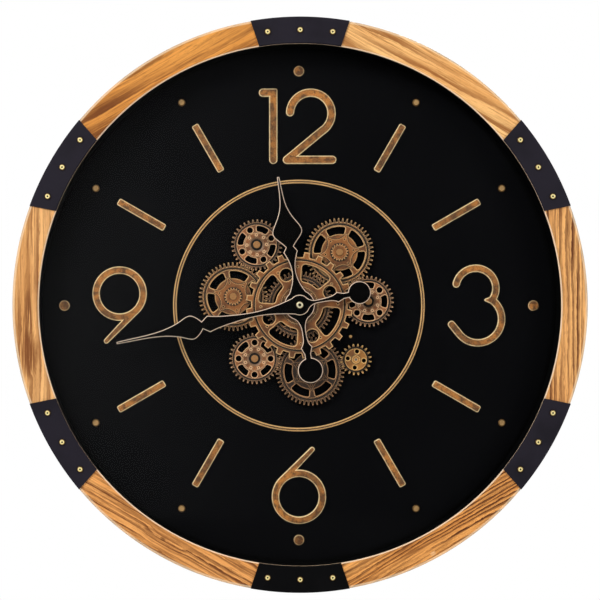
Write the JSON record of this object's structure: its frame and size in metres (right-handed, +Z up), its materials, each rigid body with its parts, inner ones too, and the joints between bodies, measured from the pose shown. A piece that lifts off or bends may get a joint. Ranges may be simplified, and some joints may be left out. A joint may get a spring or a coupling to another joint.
{
  "type": "gear wall clock",
  "caption": "Round wall clock with a segmented wooden rim, riveted straps, a glazed dark dial, raised numerals, a turning ornamental gear train and spade hands.",
  "frame": {"origin": "centre of the hanger plate's keyhole, in the plane of the wall", "axes": "+X to the right of a person facing the dial, +Y into the wall, +Z up towards twelve"},
  "size_m": [0.6, 0.0693, 0.6],
  "materials": {
    "oak": "golden wood, satin lacquer",
    "strap_black": "matt charcoal paint",
    "stud_brass": "bright brass",
    "clear_glass": "clear float glass",
    "black_board": "fibreboard, matt black paint",
    "bronze": "antique bronze with rubbed bright edges",
    "post_steel": "plain steel",
    "cap_brass": "dull brass",
    "hand_black": "matt black, edges bright",
    "works_plastic": "black moulding",
    "white_plastic": "white moulding",
    "cell_wrap": "plain printed-free sleeve"
  },
  "bodies": {
    "case": {"wood_segment_1": "oak", "wood_segment_2": "oak", "wood_segment_3": "oak", "wood_segment_4": "oak", "wood_segment_5": "oak", "wood_segment_6": "oak", "strap_plate_1": "strap_black", "strap_plate_2": "strap_black", "strap_plate_3": "strap_black", "strap_plate_4": "strap_black", "strap_plate_5": "strap_black", "strap_plate_6": "strap_black", "strap_studs": "stud_brass", "glass_pane": "clear_glass", "inner_liner": "black_board", "dial_panel": "black_board", "rear_spacer": "black_board", "back_board": "black_board", "hanger_plate": "post_steel", "board_screws": "post_steel", "gear_surround": "bronze", "numeral_12": "bronze", "numeral_3": "bronze", "numeral_6": "bronze", "numeral_9": "bronze", "hour_batons": "bronze", "hour_dots": "bronze", "quarter_dots": "bronze", "dial_pin": "post_steel", "gear_posts": "post_steel", "post_caps": "cap_brass", "centre_sleeve": "post_steel", "fixing_nut": "cap_brass", "movement_case": "works_plastic", "movement_cover": "works_plastic", "movement_cell": "cell_wrap", "cell_contacts": "cap_brass", "motor_case": "works_plastic", "motor_can": "post_steel", "cell_holder": "works_plastic", "holder_cells": "cell_wrap", "small_screws": "post_steel"},
    "centre_wheels": {"sun_gear": "bronze", "front_gear": "bronze"},
    "left_wheel": {"gear_left": "bronze"},
    "upper_right_wheel": {"gear_upper_right": "bronze"},
    "bottom_wheel": {"gear_bottom": "bronze"},
    "upper_left_wheel": {"gear_upper_left": "bronze"},
    "right_wheel": {"gear_right": "bronze"},
    "lower_left_wheel": {"gear_lower_left": "bronze"},
    "drive": {"drive_pinion": "bronze", "motor_shaft": "post_steel"},
    "minute_work": {"minute_hand": "hand_black", "hand_nut": "stud_brass", "minute_arbor": "post_steel"},
    "hour_work": {"hour_hand": "hand_black", "hour_wheel": "white_plastic"},
    "motion_work": {"motion_wheel": "white_plastic", "setting_knob": "white_plastic"}
  },
  "joints": [
    {"name": "centre_spin", "type": "hinge", "parent": "case", "child": "centre_wheels", "pos_m": [0, -0.041, -0.24], "axis": [0, 1, 0], "continuous": true},
    {"name": "left_spin", "type": "hinge", "parent": "case", "child": "left_wheel", "pos_m": [-0.0697, -0.03775, -0.2307], "axis": [0, 1, 0], "continuous": true},
    {"name": "upper_right_spin", "type": "hinge", "parent": "case", "child": "upper_right_wheel", "pos_m": [0.04252, -0.03775, -0.18399], "axis": [0, 1, 0], "continuous": true},
    {"name": "bottom_spin", "type": "hinge", "parent": "case", "child": "bottom_wheel", "pos_m": [0.01161, -0.03775, -0.30936], "axis": [0, 1, 0], "continuous": true},
    {"name": "upper_left_spin", "type": "hinge", "parent": "case", "child": "upper_left_wheel", "pos_m": [-0.04479, -0.03775, -0.17604], "axis": [0, 1, 0], "continuous": true},
    {"name": "right_spin", "type": "hinge", "parent": "case", "child": "right_wheel", "pos_m": [0.073, -0.03775, -0.23574], "axis": [0, 1, 0], "continuous": true},
    {"name": "lower_left_spin", "type": "hinge", "parent": "case", "child": "lower_left_wheel", "pos_m": [-0.04699, -0.03775, -0.29615], "axis": [0, 1, 0], "continuous": true},
    {"name": "drive_spin", "type": "hinge", "parent": "case", "child": "drive", "pos_m": [0.05989, -0.03775, -0.29714], "axis": [0, 1, 0], "continuous": true},
    {"name": "minute_spin", "type": "hinge", "parent": "case", "child": "minute_work", "pos_m": [0, -0.05335, -0.24], "axis": [0, 1, 0], "continuous": true},
    {"name": "hour_spin", "type": "hinge", "parent": "case", "child": "hour_work", "pos_m": [0, -0.04975, -0.24], "axis": [0, 1, 0], "continuous": true},
    {"name": "motion_spin", "type": "hinge", "parent": "case", "child": "motion_work", "pos_m": [0, -0.01405, -0.231], "axis": [0, 1, 0], "continuous": true}
  ],
  "couplings": [
    {"joint": "left_spin", "follows": "centre_spin", "ratio": -1},
    {"joint": "upper_right_spin", "follows": "centre_spin", "ratio": -1},
    {"joint": "bottom_spin", "follows": "centre_spin", "ratio": -1},
    {"joint": "upper_left_spin", "follows": "centre_spin", "ratio": 1.4118},
    {"joint": "right_spin", "follows": "centre_spin", "ratio": 1.4118},
    {"joint": "lower_left_spin", "follows": "centre_spin", "ratio": 1.4118},
    {"joint": "drive_spin", "follows": "centre_spin", "ratio": 2.4},
    {"joint": "motion_spin", "follows": "minute_spin", "ratio": -0.33333},
    {"joint": "hour_spin", "follows": "minute_spin", "ratio": 0.083333}
  ]
}
